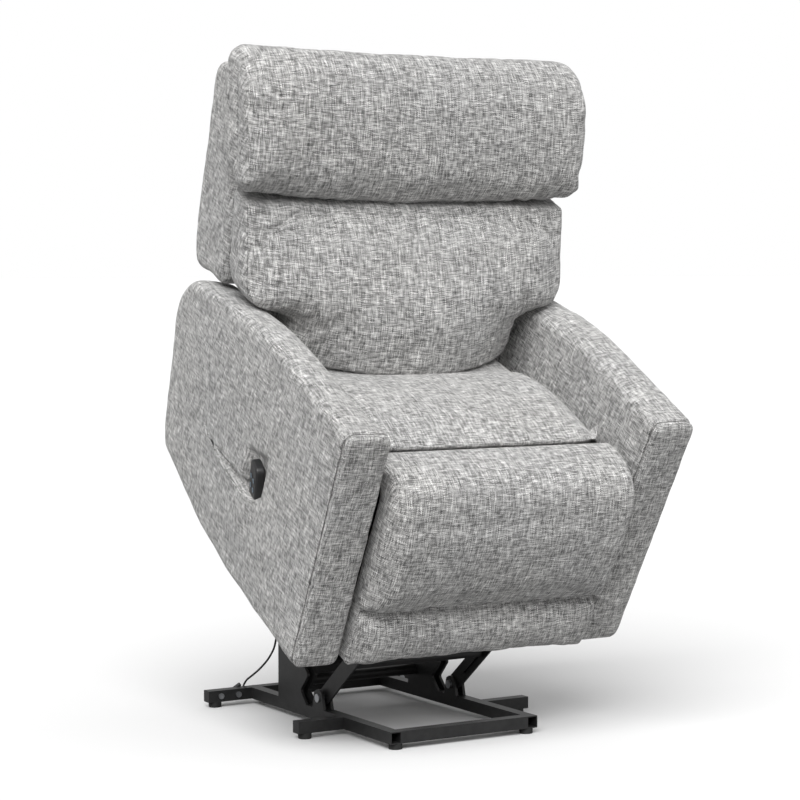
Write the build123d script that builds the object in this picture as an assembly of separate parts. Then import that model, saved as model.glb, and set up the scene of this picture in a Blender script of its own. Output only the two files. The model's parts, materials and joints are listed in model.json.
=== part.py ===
from build123d import *
import math
import os

# Lift recliner chair, millimetres, standing raised on its lift base.
# +X is to the right in a front view, +Y is rearward, +Z is up, and the floor is at Z = 0.
# In the names of the pieces, left is -X and right is +X.
# Base pieces are drawn in base coordinates, whose Y starts at the front of the base.
# Chair pieces are drawn in chair coordinates (X, U, V): U rearward and V up along the seat box,
# from the lower front corner of the arms. The lift tips the whole seat box forward by LIFT_TILT.

os.makedirs("parts", exist_ok=True)

# ---- driving dimensions -------------------------------------------------------------------------
ORIGIN_Y = 197            # base Y of the model's origin, the middle of the raised chair's depth
LIFT_TILT = 28            # forward tilt of the raised seat box, degrees
CHAIR_Y = 19              # lower front corner of the arms in the base, raised
CHAIR_Z = 178

CHAIR_WIDTH = 800         # over the arms
ARM_OUTER = CHAIR_WIDTH / 2
ARM_INNER = 286
ARM_FRONT_PANEL = 10      # padded board that closes each arm in front
ARM_PADDING = 40          # foam inside the arm's inner wall, as far as its wooden frame
ARM_BOARD = 12            # thickness of the arm's wooden side
ARM_FRAME_OUT = 354       # outer face of the arm's wooden frame
SEAT_HALF = 282
FOOTREST_HALF = 272
LOWER_BACK_HALF = 279     # back between the arms
LUMBAR_HALF = 385         # wings above the arms
HEADREST_HALF = 394
SHELL_HALF = 382

TUBE = 25                 # square tube of the base
WALL = 2
BASE_HALF = 177           # half width of the base over its side rails
BASE_DEPTH = 625
FLOOR_GAP = 12            # height of the feet below the tubes
OUTRIGGER_TIP = 283
MID_OUTRIGGER_Y = 190
FOOT_RADIUS = 14

PLATE = 6                 # post plates, brackets and chassis plates
LINK_PLATE = 5            # lift arms and rear links
LIFT_ARM_X = 159          # inner face of the lift arms
REAR_LINK_X = 165         # inner face of the rear links, outside the lift arms
BRACKET_IN = 152          # inner plates of the base posts and brackets
BRACKET_OUT = 171         # outer plates
CHASSIS_X = 182           # inner face of the chassis side plates
PIN = 6                   # radius of the linkage pins
FIT = 0.06                # radial running clearance of every pin
BOLT_HEAD = 9             # radius of the pivot bolts' heads and nuts
HEAD_DEPTH = 5            # their thickness on the actuators' bolts
EAR_IN = 18               # half gap between the two ears that hold an actuator
EAR_OUT = EAR_IN + PLATE
THROUGH = 400             # half length of a cutting bar that goes right through the chair

# Pivots of the lift linkage: base coordinates (Y, Z) on the base, chair coordinates (U, V) on the chair.
LIFT_ARM_BASE = (300, 60)
LIFT_ARM_CHAIR = (80.3, 20)
REAR_LINK_BASE = (455, 180)
REAR_LINK_CHAIR = (287.2, 30)
LIFT_MOTOR_BASE = (575, 70)
LIFT_MOTOR_CHAIR = (130, 235)

# Pivots of the seat box, chair coordinates (U, V).
BACK_PIVOT = (540, 300)
BACK_CRANK = (530, 190)
BACK_MOTOR = (95, 215)
FOOTREST_PIVOT = (52, 376)
FOOTREST_CRANK = (77, 301)
FOOTREST_MOTOR = (575, 150)
BACK_MOTOR_X = -90
FOOTREST_MOTOR_X = 90

FRONT_TUBE = (80, 62)     # cross tubes of the chassis (U, V)
MOTOR_TUBE = (85, 262)
REAR_TUBE = (620, 120)
CROSS_TUBE_RADIUS = 12.5
RAIL_IN = 258             # wooden seat rails
RAIL_OUT = 282

HANDSET_AT = (-388, 290, 218)   # middle of the handset where it crosses the pocket's mouth (X, U, V)
HANDSET_SIZE = (20, 50, 152)    # thickness, width, length
HANDSET_TILT = 10               # leans out of the pocket by this angle
HANDSET_TWIST = 12              # its keys are turned rearward by this angle
HANDSET_ABOVE = 80              # length above the pocket's mouth
KEY_RADIUS = 6.5

BACK_SLOPE = 0.4583       # rearward run of the back frame's rails for each unit of height
CUSHION_BEHIND = 17       # the back cushions stop this far in front of the rails' line
CABLE_RADIUS = 2.2


# ---- helpers --------------------------------------------------------------------------------------
def save(node, shape, place=Location()):
    """Write one node, moved from its drawing coordinates to the model's frame."""
    shapes = shape if isinstance(shape, (list, tuple)) else [shape]
    solids = [solid.moved(place) for one in shapes for solid in one.solids()]
    export_step(solids[0] if len(solids) == 1 else Compound(solids), f"parts/{node}.step")


def slab(outline, x0, x1, radii=None):
    """Plate between x0 and x1 with a closed outline of (Y, Z) points, its corners rounded by radii."""
    if radii is None:
        wire = Polyline(*outline, close=True)
    else:
        wire = FilletPolyline(*outline, radius=radii, close=True)
    return extrude(Plane.YZ.offset(x0) * make_face(wire), x1 - x0)


def rod(at, radius, x0, x1):
    """Round bar along X through the (Y, Z) point at."""
    return extrude(Plane.YZ.offset(x0) * (Pos(at[0], at[1]) * Circle(radius)), x1 - x0)


def block(x0, x1, y0, y1, z0, z1):
    """Rectangular block between two corners."""
    return Pos((x0 + x1) / 2, (y0 + y1) / 2, (z0 + z1) / 2) * Box(x1 - x0, y1 - y0, z1 - z0)


def link(a, b, half_a, half_b, x0, x1):
    """Flat link between two (Y, Z) pivots, rounded about each."""
    run = math.dist(a, b)
    along = ((b[0] - a[0]) / run, (b[1] - a[1]) / run)
    side = (-along[1], along[0])
    corners = [
        (a[0] + side[0] * half_a, a[1] + side[1] * half_a),
        (b[0] + side[0] * half_b, b[1] + side[1] * half_b),
        (b[0] - side[0] * half_b, b[1] - side[1] * half_b),
        (a[0] - side[0] * half_a, a[1] - side[1] * half_a),
    ]
    return slab(corners, x0, x1) + rod(a, half_a, x0, x1) + rod(b, half_b, x0, x1)


def both_sides(make):
    """The left and right copies of the shape that make() builds for X > 0."""
    right = make()
    return mirror(right, about=Plane.YZ), right


def to_base(uv):
    """Base coordinates (Y, Z) of a chair point (U, V) in the raised pose."""
    c = math.cos(math.radians(LIFT_TILT))
    s = math.sin(math.radians(LIFT_TILT))
    return (CHAIR_Y + uv[0] * c - uv[1] * s, CHAIR_Z + uv[0] * s + uv[1] * c)


BASE = Location((0, -ORIGIN_Y, 0))
CHAIR = Location((0, CHAIR_Y - ORIGIN_Y, CHAIR_Z), (LIFT_TILT, 0, 0))
RAIL_TOP = FLOOR_GAP + TUBE


# ---- base -----------------------------------------------------------------------------------------
def square_tube(x0, x1, y0, y1, axis):
    """Hollow square tube of the base lying along X or Y."""
    inset = (0, WALL) if axis == "x" else (WALL, 0)
    outer = block(x0, x1, y0, y1, FLOOR_GAP, RAIL_TOP)
    hollow = block(x0 + inset[0], x1 - inset[0], y0 + inset[1], y1 - inset[1],
                   FLOOR_GAP + WALL, RAIL_TOP - WALL)
    return outer - hollow


def build_base():
    rail_in = BASE_HALF - TUBE
    save("base_front_bar", square_tube(-rail_in, rail_in, 0, TUBE, "x"), BASE)
    save("base_rear_bar", square_tube(-rail_in, rail_in, BASE_DEPTH - TUBE, BASE_DEPTH, "x"), BASE)
    save("base_side_rails", both_sides(lambda: square_tube(rail_in, BASE_HALF, 0, BASE_DEPTH, "y")), BASE)

    outriggers = []
    caps = []
    for y in (MID_OUTRIGGER_Y, BASE_DEPTH - TUBE):
        outriggers += both_sides(lambda: square_tube(BASE_HALF, OUTRIGGER_TIP - 3, y, y + TUBE, "x"))
        caps += both_sides(lambda: block(OUTRIGGER_TIP - 3, OUTRIGGER_TIP, y, y + TUBE, FLOOR_GAP, RAIL_TOP))
    save("base_outriggers", outriggers, BASE)
    save("outrigger_end_caps", caps, BASE)

    feet = []
    for x, y in ((158, 14), (262, MID_OUTRIGGER_Y + TUBE / 2), (262, BASE_DEPTH - TUBE / 2)):
        foot = chamfer(Cylinder(FOOT_RADIUS, FLOOR_GAP).edges().group_by(Axis.Z)[0], 1.2)
        feet += both_sides(lambda: Pos(x, y, FLOOR_GAP / 2) * foot)
    save("base_feet", feet, BASE)

    bolts = []
    head = Cylinder(6.5, 3) - Pos(0, 0, 1) * extrude(RegularPolygon(3, 6), 1)
    for x in (210, 253):
        at = Pos(x, BASE_DEPTH - TUBE - 1.5, FLOOR_GAP + TUBE / 2) * Rot(90, 0, 0)
        bolts += both_sides(lambda: at * head)
    save("outrigger_bolts", bolts, BASE)


def motor_bolt(at, x):
    """Bolt through the two ears of an actuator at x, with its head and nut outside them."""
    bolt = rod(at, PIN, x - EAR_OUT, x + EAR_OUT)
    bolt += rod(at, BOLT_HEAD, x - EAR_OUT - HEAD_DEPTH, x - EAR_OUT)
    return bolt + rod(at, BOLT_HEAD, x + EAR_OUT, x + EAR_OUT + HEAD_DEPTH)


def stub_heads(at, x):
    """The two bolt heads outside an actuator's ears where the bolt itself is left out: an opened pivot."""
    reach = EAR_OUT + HEAD_DEPTH
    return rod(at, BOLT_HEAD, x - reach, x - reach + 6), rod(at, BOLT_HEAD, x + reach - 6, x + reach)


def build_posts():
    """Post plates in pairs with the rear link between them, brackets for the lift arm, a cross tube."""
    post = [(350, RAIL_TOP), (377, 65), (343, 102), (392, 150), (434, 200), (476, 200), (476, RAIL_TOP)]
    radii = [0, 6, 8, 30, 14, 14, 0]
    hole = rod(REAR_LINK_BASE, PIN, 0, ARM_INNER)

    plates = []
    for x in (BRACKET_IN, BRACKET_OUT):
        plates += both_sides(lambda: slab(post, x, x + PLATE, radii) - hole)
    save("base_post_plates", plates, BASE)
    save("base_cross_tube", rod((450, 72), 12, -BRACKET_IN, BRACKET_IN), BASE)

    ears = []
    ear = [(276, RAIL_TOP), (284, 72), (300, 80), (316, 72), (324, RAIL_TOP)]
    pin_hole = rod(LIFT_ARM_BASE, PIN, 0, ARM_INNER)
    for x in (BRACKET_IN, BRACKET_OUT):
        ears += both_sides(lambda: slab(ear, x, x + PLATE, [0, 6, 14, 6, 0]) - pin_hole)

    ear = [(558, 60), (566, 84), (584, 84), (BASE_DEPTH - 2, RAIL_TOP), (BASE_DEPTH - TUBE, RAIL_TOP),
           (BASE_DEPTH - TUBE, 30), (590, 30)]
    motor_hole = rod(LIFT_MOTOR_BASE, PIN, -ARM_INNER, ARM_INNER)
    ears += both_sides(lambda: slab(ear, EAR_IN, EAR_OUT, [6, 8, 8, 4, 0, 0, 10]) - motor_hole)
    save("base_brackets", ears, BASE)

    pins = []
    outside = BRACKET_OUT + PLATE
    for at in (LIFT_ARM_BASE, REAR_LINK_BASE):
        shank = rod(at, PIN, BRACKET_IN - 3, outside)
        heads = rod(at, BOLT_HEAD, BRACKET_IN - 6, BRACKET_IN) + rod(at, BOLT_HEAD, outside, outside + 3)
        pins += both_sides(lambda: shank + heads)
    pins.append(motor_bolt(LIFT_MOTOR_BASE, 0))
    save("base_pivot_bolts", pins, BASE)


def build_lift_links():
    """Lift arms joined by a tube, and the rear links of the four-bar."""
    top = to_base(LIFT_ARM_CHAIR)
    mid = ((LIFT_ARM_BASE[0] + top[0]) / 2, (LIFT_ARM_BASE[1] + top[1]) / 2)

    def arm():
        plate = link(LIFT_ARM_BASE, top, 19, 19, LIFT_ARM_X, LIFT_ARM_X + LINK_PLATE)
        rib = link((LIFT_ARM_BASE[0] - 45, LIFT_ARM_BASE[1] + 35.5), (top[0] + 45, top[1] - 35.5), 5, 5,
                   LIFT_ARM_X - 4, LIFT_ARM_X)
        holes = rod(LIFT_ARM_BASE, PIN + FIT, 0, ARM_INNER) + rod(top, PIN + FIT, 0, ARM_INNER)
        return plate + rib - holes

    for name, shape in zip(("left", "right"), both_sides(arm)):
        save(f"lift_arm_{name}", shape, BASE)
    save("lift_arm_tube", rod(mid, 12, -LIFT_ARM_X + 4, LIFT_ARM_X - 4), BASE)

    link_top = to_base(REAR_LINK_CHAIR)

    def rear():
        outside = REAR_LINK_X + LINK_PLATE
        plate = link(REAR_LINK_BASE, link_top, 14, 14, REAR_LINK_X, outside)
        plate -= rod(REAR_LINK_BASE, PIN + FIT, 0, ARM_INNER)
        return plate + rod(link_top, 10, outside, CHASSIS_X - 1.5)

    save("rear_links", both_sides(rear), BASE)


# ---- actuators --------------------------------------------------------------------------------------
def actuator(name, start, end, x, motor_side, shown, inside, place):
    """Linear actuator from the pivot start (motor end) to the pivot end (rod end), in the plane at x.

    As stored, shown is the length of rod outside the tube and inside the length within it.
    """
    length = math.dist(start, end)
    angle = math.atan2(end[1] - start[1], end[0] - start[0])
    # Local frame: X along the stroke, Y up, Z across; then laid into the YZ plane at x.
    along = (0, math.cos(angle), math.sin(angle))
    lay = Plane(origin=(x, start[0], start[1]), x_dir=along, z_dir=(1, 0, 0)).location
    gearbox_end = 85
    motor_length = 110
    shaft_radius = 10
    eye = Cylinder(13, 30) + Pos(15, 0, 0) * Box(30, 22, 30) - Cylinder(PIN + FIT, 40)
    gearbox = Pos(gearbox_end - 30, 0, motor_side * 27) * fillet(Box(60, 54, 104).edges(), 7)
    motor = Rot(0, 90, 0) * Cylinder(21, motor_length)
    motor = Pos(gearbox_end + motor_length / 2, 0, motor_side * 55) * motor
    tube_end = length - shown
    tube = Rot(0, 90, 0) * Cylinder(18, tube_end - gearbox_end)
    tube = Pos((gearbox_end + tube_end) / 2, 0, 0) * tube
    bore = Pos(length / 2, 0, 0) * Rot(0, 90, 0) * Cylinder(shaft_radius + FIT, length)
    body = eye + gearbox + tube - (bore & Pos(length / 2 + 100, 0, 0) * Box(length, 60, 60))
    save(f"{name}_actuator_body", lay * body, place)
    save(f"{name}_actuator_motor", lay * motor, place)
    rod_end = length - 14
    shaft = Rot(0, 90, 0) * Cylinder(shaft_radius, rod_end - tube_end + inside)
    shaft = Pos((tube_end - inside + rod_end) / 2, 0, 0) * shaft
    tongue = Pos(length, 0, 0) * Cylinder(12, 12) + Pos(length - 16, 0, 0) * Box(32, 18, 12)
    tongue -= Pos(length, 0, 0) * Cylinder(PIN + FIT, 40)
    save(f"{name}_actuator_rod", lay * (shaft + tongue), place)


# ---- seat box -----------------------------------------------------------------------------------------
def build_chassis():
    plate = [(52, 4), (330, 4), (600, 88), (646, 100), (646, 146), (600, 146), (330, 92), (170, 120),
             (112, 284), (62, 284), (60, 100)]
    radii = [20, 60, 40, 18, 18, 40, 60, 60, 12, 12, 60]

    def side():
        hole = rod(LIFT_ARM_CHAIR, PIN, 0, ARM_INNER)
        nut = rod(REAR_LINK_CHAIR, BOLT_HEAD, CHASSIS_X + PLATE, CHASSIS_X + PLATE + 6)
        return slab(plate, CHASSIS_X, CHASSIS_X + PLATE, radii) + nut - hole

    for name, shape in zip(("left", "right"), both_sides(side)):
        for tube in (FRONT_TUBE, MOTOR_TUBE, REAR_TUBE):
            shape -= rod(tube, CROSS_TUBE_RADIUS, -RAIL_IN, RAIL_IN)
        save(f"chassis_plate_{name}", shape, CHAIR)
    tubes = []
    for at in (FRONT_TUBE, MOTOR_TUBE, REAR_TUBE):
        bore = rod(at, CROSS_TUBE_RADIUS - WALL, -RAIL_IN, RAIL_IN)
        tubes.append(rod(at, CROSS_TUBE_RADIUS, -RAIL_IN, RAIL_IN) - bore)
    save("chassis_cross_tubes", tubes, CHAIR)

    pins = both_sides(lambda: rod(LIFT_ARM_CHAIR, PIN, LIFT_ARM_X - 6, CHASSIS_X + PLATE + 3)
                      + rod(LIFT_ARM_CHAIR, 10, LIFT_ARM_X - 6, LIFT_ARM_X - 1)
                      + rod(LIFT_ARM_CHAIR, 10, LIFT_ARM_X + LINK_PLATE + 0.5, CHASSIS_X)
                      + rod(LIFT_ARM_CHAIR, 10, CHASSIS_X + PLATE, CHASSIS_X + PLATE + 5))
    save("chassis_pivot_bolts", pins, CHAIR)

    def ears(x, pivot, tube, through):
        """Two ears welded on a cross tube, with the pivot bolt between them where it is a real bearing."""
        made = []
        for x0 in (x - EAR_OUT, x + EAR_IN):
            ear = link(tube, pivot, 16, 11, x0, x0 + PLATE)
            made.append(ear - rod(tube, CROSS_TUBE_RADIUS, -THROUGH, THROUGH))
        if through:
            made = [ear - rod(pivot, PIN, -THROUGH, THROUGH) for ear in made]
            made.append(motor_bolt(pivot, x))
        else:
            made = [ear + head for ear, head in zip(made, stub_heads(pivot, x))]
        return made

    brackets = ears(0, LIFT_MOTOR_CHAIR, MOTOR_TUBE, False)
    brackets += ears(BACK_MOTOR_X, BACK_MOTOR, MOTOR_TUBE, True)
    brackets += ears(FOOTREST_MOTOR_X, FOOTREST_MOTOR, REAR_TUBE, True)
    save("chassis_brackets", brackets, CHAIR)
    box = fillet(block(150, CHASSIS_X, 118, 230, 125, 168).edges().filter_by(Axis.X), 5)
    save("control_box", box, CHAIR)


def build_seat():
    frame = list(both_sides(lambda: block(RAIL_IN, RAIL_OUT, 116, 606, 223, 313)))
    for u in (118, 478):
        frame.append(block(-RAIL_OUT, RAIL_OUT, u, u + 24, 313, 325))
    save("seat_frame", frame, CHAIR)
    straps = []
    for i in range(6):
        x = 88 * (i - 2.5)
        straps.append(block(x - 25, x + 25, 118, 500, 325, 327.5))
    save("seat_webbing", straps, CHAIR)

    cushion = [(113.5, 328), (113.5, 428), (134, 443), (220, 450), (320, 442), (396, 429), (400, 400),
               (500, 396), (500, 328)]
    save("seat_cushion", slab(cushion, -SEAT_HALF, SEAT_HALF, [0, 12, 20, 60, 60, 8, 0, 12, 6]), CHAIR)

    def hinge_plate():
        plate = link((150, 245), FOOTREST_PIVOT, 24, 16, RAIL_OUT, ARM_INNER - 0.5)
        return plate + rod(FOOTREST_PIVOT, 10, 240, RAIL_OUT)

    def back_plate():
        plate = slab([(504, 226), (504, 288), (526, 318), (554, 318), (580, 290), (580, 226)],
                     RAIL_IN - PLATE, RAIL_IN, [6, 20, 14, 14, 20, 6])
        return plate + rod(BACK_PIVOT, 8, 222, RAIL_IN - PLATE)

    save("footrest_hinge_plates", both_sides(hinge_plate), CHAIR)
    save("back_hinge_plates", both_sides(back_plate), CHAIR)
    save("rear_panel", block(-ARM_INNER + 1, ARM_INNER - 1, 676, 691, 92, 250), CHAIR)


def handset_plane():
    """Placing of the handset: local X out of the arm, Z along its length, origin at the pocket's mouth."""
    lean = math.radians(HANDSET_TILT)
    twist = math.radians(HANDSET_TWIST)
    along = (-math.sin(lean), 0, math.cos(lean))
    outward = (-math.cos(lean) * math.cos(twist), math.sin(twist), -math.sin(lean) * math.cos(twist))
    return Plane(origin=HANDSET_AT, x_dir=outward, z_dir=along).location


def build_arms():
    outline = [(ARM_FRONT_PANEL + 1, 2), (ARM_FRONT_PANEL + 1, 536), (370, 549), (538, 522), (708, 490),
               (748, 449), (766, 396), (740, 267), (713, 117), (690, 86), (654, 78), (524, 34), (378, 11),
               (248, 6)]
    radii = [0, 0, 300, 200, 30, 30, 40, 200, 30, 12, 60, 150, 150, 150]
    core = [(60, 45), (60, 500), (362, 512), (530, 486), (688, 458), (715, 392), (694, 270), (668, 128),
            (500, 68), (378, 46)]
    window = [(110, 95), (110, 440), (360, 452), (520, 430), (640, 400), (640, 280), (620, 160), (480, 108)]
    top = [(60, 485), (60, 500), (362, 512), (530, 486), (688, 458), (684, 443), (528, 471), (362, 497)]
    board_in = ARM_INNER + ARM_PADDING
    board_out = board_in + ARM_BOARD

    def cover():
        return slab(outline, ARM_INNER, ARM_OUTER, radii) - slab(core, board_in, ARM_FRAME_OUT)

    def wood():
        board = slab(core, board_in, board_out) - slab(window, board_in, board_out)
        return board + slab(top, board_out, ARM_FRAME_OUT)

    def front():
        panel = block(ARM_INNER, ARM_OUTER, 0, ARM_FRONT_PANEL, 0, 535)
        return fillet(panel.edges().filter_by(Axis.Y), 14)

    pocket = handset_plane() * (Pos(0, 0, 55) * Box(HANDSET_SIZE[0] + 4, HANDSET_SIZE[1] + 6, 260))
    for name, shape in zip(("left", "right"), both_sides(cover)):
        if name == "left":
            shape -= pocket
        save(f"arm_cover_{name}", shape, CHAIR)
    for name, shape in zip(("left", "right"), both_sides(wood)):
        save(f"arm_frame_{name}", shape, CHAIR)
    for name, shape in zip(("left", "right"), both_sides(front)):
        save(f"arm_front_panel_{name}", shape, CHAIR)


def build_handset():
    thick, wide, long = HANDSET_SIZE
    lay = handset_plane()
    shell = fillet(Box(thick, wide, long).edges().filter_by(Axis.X), 12)
    shell = fillet(shell.edges(), 5)
    shell = Pos(0, 0, HANDSET_ABOVE - long / 2) * shell
    for row, z in enumerate((46, 24)):
        for column, y in enumerate((-10, 10)):
            shell -= Pos(thick / 2 - 2, y, z) * Rot(0, 90, 0) * Cylinder(KEY_RADIUS + 0.3, 4.01)
            key = Pos(thick / 2 - 0.3, y, z) * Rot(0, 90, 0) * Cylinder(KEY_RADIUS, 3)
            save(f"handset_key_{2 * row + column + 1}", lay * key, CHAIR)
    save("handset_shell", lay * shell, CHAIR)


# ---- back ---------------------------------------------------------------------------------------------
def rail_u(v):
    """U of the back frame's rails at height V: a straight line up from the back pivot."""
    return BACK_PIVOT[0] + (v - BACK_PIVOT[1]) * BACK_SLOPE


def build_back():
    lean = math.degrees(math.atan(BACK_SLOPE))
    rail_length = 655

    def rail():
        tube = Pos(237.5, 0, rail_length / 2 - 20) * Box(25, 25, rail_length)
        tube = Pos(0, BACK_PIVOT[0], BACK_PIVOT[1]) * Rot(-lean, 0, 0) * tube
        return tube - rod(BACK_PIVOT, 8 + FIT, 0, 400)

    frame = list(both_sides(rail))
    for v in (520, 700, 880):
        frame.append(Pos(0, rail_u(v), v) * Rot(-lean, 0, 0) * Box(450, 20, 30))
    frame.append(rod(BACK_PIVOT, 12, -221, 221))
    save("back_frame", frame, CHAIR)

    crank = link(BACK_PIVOT, BACK_CRANK, 14, 12, BACK_MOTOR_X - EAR_OUT, BACK_MOTOR_X - EAR_IN)
    crank += link(BACK_PIVOT, BACK_CRANK, 14, 12, BACK_MOTOR_X + EAR_IN, BACK_MOTOR_X + EAR_OUT)
    crank -= rod(BACK_PIVOT, 12, -THROUGH, THROUGH)
    for head in stub_heads(BACK_CRANK, BACK_MOTOR_X):
        crank += head
    save("back_crank", crank, CHAIR)

    def behind(v, gap=CUSHION_BEHIND):
        """Corner (U, V) of a cushion's rear face at height V."""
        return (rail_u(v) - gap, v)

    lumbar_low = [(414, 404), (402, 440), (428, 505), (480, 580), (548, 662), (596, 709),
                  behind(709), behind(404)]
    lumbar_high = [(552, 580), (574, 662), (596, 709), behind(709), behind(562)]
    lumbar = slab(lumbar_low, -LOWER_BACK_HALF, LOWER_BACK_HALF, [10, 30, 60, 60, 60, 8, 0, 0])
    lumbar += slab(lumbar_high, -LUMBAR_HALF, LUMBAR_HALF)
    save("lumbar_cushion", lumbar, CHAIR)

    head = [(602, 713), (588, 745), (612, 820), (662, 925), (706, 978), (752, 999), (802, 990), (830, 955),
            (832, 921), behind(921), behind(713)]
    radii = [10, 30, 60, 60, 40, 40, 30, 20, 0, 0, 0]
    save("headrest_cushion", slab(head, -HEADREST_HALF, HEADREST_HALF, radii), CHAIR)

    front = CUSHION_BEHIND - 1
    shell_high = [behind(556, front), behind(908, front), (866, 914), (870, 883), (803, 552), (752, 470),
                  (700, 514)]
    shell_low = [behind(404, front), behind(600, front), (800, 600), (800, 552), (752, 470), (640, 404)]
    shell = slab(shell_high, -SHELL_HALF, SHELL_HALF, [0, 0, 16, 20, 60, 20, 20])
    shell += slab(shell_low, -LOWER_BACK_HALF, LOWER_BACK_HALF)
    for part in frame:
        shell -= part
    save("back_shell", shell, CHAIR)


# ---- footrest -------------------------------------------------------------------------------------------
def build_footrest():
    roll = 60
    tube_radius = 15
    panel = [(0, 405), (-28, 402), (-43, 365), (-48, 300), (-45, 200), (-34, 150), (-18, 132), (-29, 114),
             (-30, 60), (-22, 6), (8, 0), (36, 4), (36, 376)]
    pad = slab(panel, -FOOTREST_HALF, FOOTREST_HALF)
    keep = block(-THROUGH, THROUGH, -20, 52, 376, 450) + block(-THROUGH, THROUGH, 52, 120, 404, 450)
    upper = rod(FOOTREST_PIVOT, roll, -FOOTREST_HALF, FOOTREST_HALF) & keep
    pad = pad + upper - rod(FOOTREST_PIVOT, tube_radius, -THROUGH, THROUGH)
    save("footrest_pad", pad, CHAIR)
    board = FOOTREST_HALF - 24
    save("footrest_board", block(-board, board, 37, 52, 24, 360), CHAIR)
    tube = rod(FOOTREST_PIVOT, tube_radius, -FOOTREST_HALF + 2, FOOTREST_HALF - 2)
    save("footrest_tube", tube - rod(FOOTREST_PIVOT, 10 + FIT, -400, 400), CHAIR)

    stay = [(52.5, 240), (52.5, 358), (60, 372), (84, 360), (80, 330), (64, 240)]
    brackets = []
    for x in (-200, 200):
        bracket = slab(stay, x - PLATE / 2, x + PLATE / 2, [0, 0, 0, 6, 10, 4])
        brackets.append(bracket - rod(FOOTREST_PIVOT, tube_radius, -THROUGH, THROUGH))
    root = (62, 346)
    for x, head in zip((FOOTREST_MOTOR_X - EAR_OUT, FOOTREST_MOTOR_X + EAR_IN),
                       stub_heads(FOOTREST_CRANK, FOOTREST_MOTOR_X)):
        ear = link(root, FOOTREST_CRANK, 9, 12, x, x + PLATE) + link(root, (60, 362), 9, 8, x, x + PLATE)
        ear = ear & block(-THROUGH, THROUGH, 52.5, 200, 200, 450)
        brackets.append(ear - rod(FOOTREST_PIVOT, tube_radius, -THROUGH, THROUGH) + head)
    save("footrest_brackets", brackets, CHAIR)


# ---- power cable ------------------------------------------------------------------------------------------
def build_cable():
    """Low-voltage lead: from a clip on the left post over the rear bar and round to its connector."""
    clip = block(-178, -170, 476, 494, 181, 197) - Pos(-174, 487, 189) * Cylinder(CABLE_RADIUS, 30)
    save("cable_clip", clip, BASE)
    route = [(-174, 487, 181), (-174, 492, 148), (-176, 517, 116), (-179, 552, 88), (-182, 588, 66),
             (-181, 622, 50), (-177, 648, 26), (-171, 676, 7), (-180, 704, 3), (-206, 714, 3),
             (-229, 698, 3), (-235, 670, 4), (-225, 645, 14), (-206, 635, 30)]
    runs = [Vector(*b) - Vector(*a) for a, b in zip(route, route[1:])]
    radii = []
    for before, after in zip(runs, runs[1:]):
        turn = before.get_angle(after)
        radii.append(0.45 * min(before.length, after.length) / math.tan(math.radians(turn) / 2))
        print(f"cable corner: run {after.length:.0f} mm, turn {turn:.0f} deg, radius {radii[-1]:.0f} mm")
    path = FilletPolyline(*route, radius=radii)
    start = Plane(origin=route[0], z_dir=runs[0])
    tube = sweep(start * Circle(CABLE_RADIUS), path=path)
    expected = math.pi * CABLE_RADIUS ** 2 * path.length
    print(f"cable length {path.length:.0f} mm, volume {tube.volume:.0f} of {expected:.0f} mm3")
    save("power_cable", tube, BASE)
    upright = (Align.CENTER, Align.CENTER, Align.MIN)
    plug = chamfer(Cylinder(4.6, 20, align=upright).edges().group_by(Axis.Z)[-1], 1)
    plug -= Pos(0, 0, 14) * Cylinder(1.4, 20, align=upright)
    save("cable_connector", Plane(origin=route[-1], z_dir=runs[-1]) * plug, BASE)


build_base()
build_posts()
build_lift_links()
actuator("lift", LIFT_MOTOR_BASE, to_base(LIFT_MOTOR_CHAIR), 0, -1, 168, 60, BASE)
build_chassis()
build_seat()
actuator("back", BACK_MOTOR, BACK_CRANK, BACK_MOTOR_X, -1, 112, 60, CHAIR)
actuator("footrest", FOOTREST_MOTOR, FOOTREST_CRANK, FOOTREST_MOTOR_X, -1, 150, 130, CHAIR)
build_arms()
build_handset()
build_back()
build_footrest()
build_cable()
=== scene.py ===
import json
import math

import bmesh
import bpy
import numpy as np
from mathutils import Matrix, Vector
from mathutils.bvhtree import BVHTree
from mathutils.kdtree import KDTree


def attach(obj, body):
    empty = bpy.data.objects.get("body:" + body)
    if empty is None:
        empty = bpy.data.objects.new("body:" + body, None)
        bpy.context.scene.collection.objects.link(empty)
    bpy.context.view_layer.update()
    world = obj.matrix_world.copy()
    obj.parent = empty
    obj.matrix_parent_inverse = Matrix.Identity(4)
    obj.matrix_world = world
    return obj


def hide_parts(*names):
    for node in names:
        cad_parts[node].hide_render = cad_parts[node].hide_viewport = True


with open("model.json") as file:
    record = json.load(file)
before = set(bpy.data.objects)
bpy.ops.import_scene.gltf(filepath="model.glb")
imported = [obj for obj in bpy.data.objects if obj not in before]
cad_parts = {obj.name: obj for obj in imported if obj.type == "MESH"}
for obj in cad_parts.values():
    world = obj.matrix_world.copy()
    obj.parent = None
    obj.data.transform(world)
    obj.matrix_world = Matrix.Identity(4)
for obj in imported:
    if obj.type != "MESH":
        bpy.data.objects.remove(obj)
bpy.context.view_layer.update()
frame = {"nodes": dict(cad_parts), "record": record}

# Lift recliner chair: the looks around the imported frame. Metres throughout.
# Chair coordinates (x, u, v): u rearward and v up along the seat box, tipped forward by TILT.
# Soft pieces are drawn in chair coordinates and placed by to_model().

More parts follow.
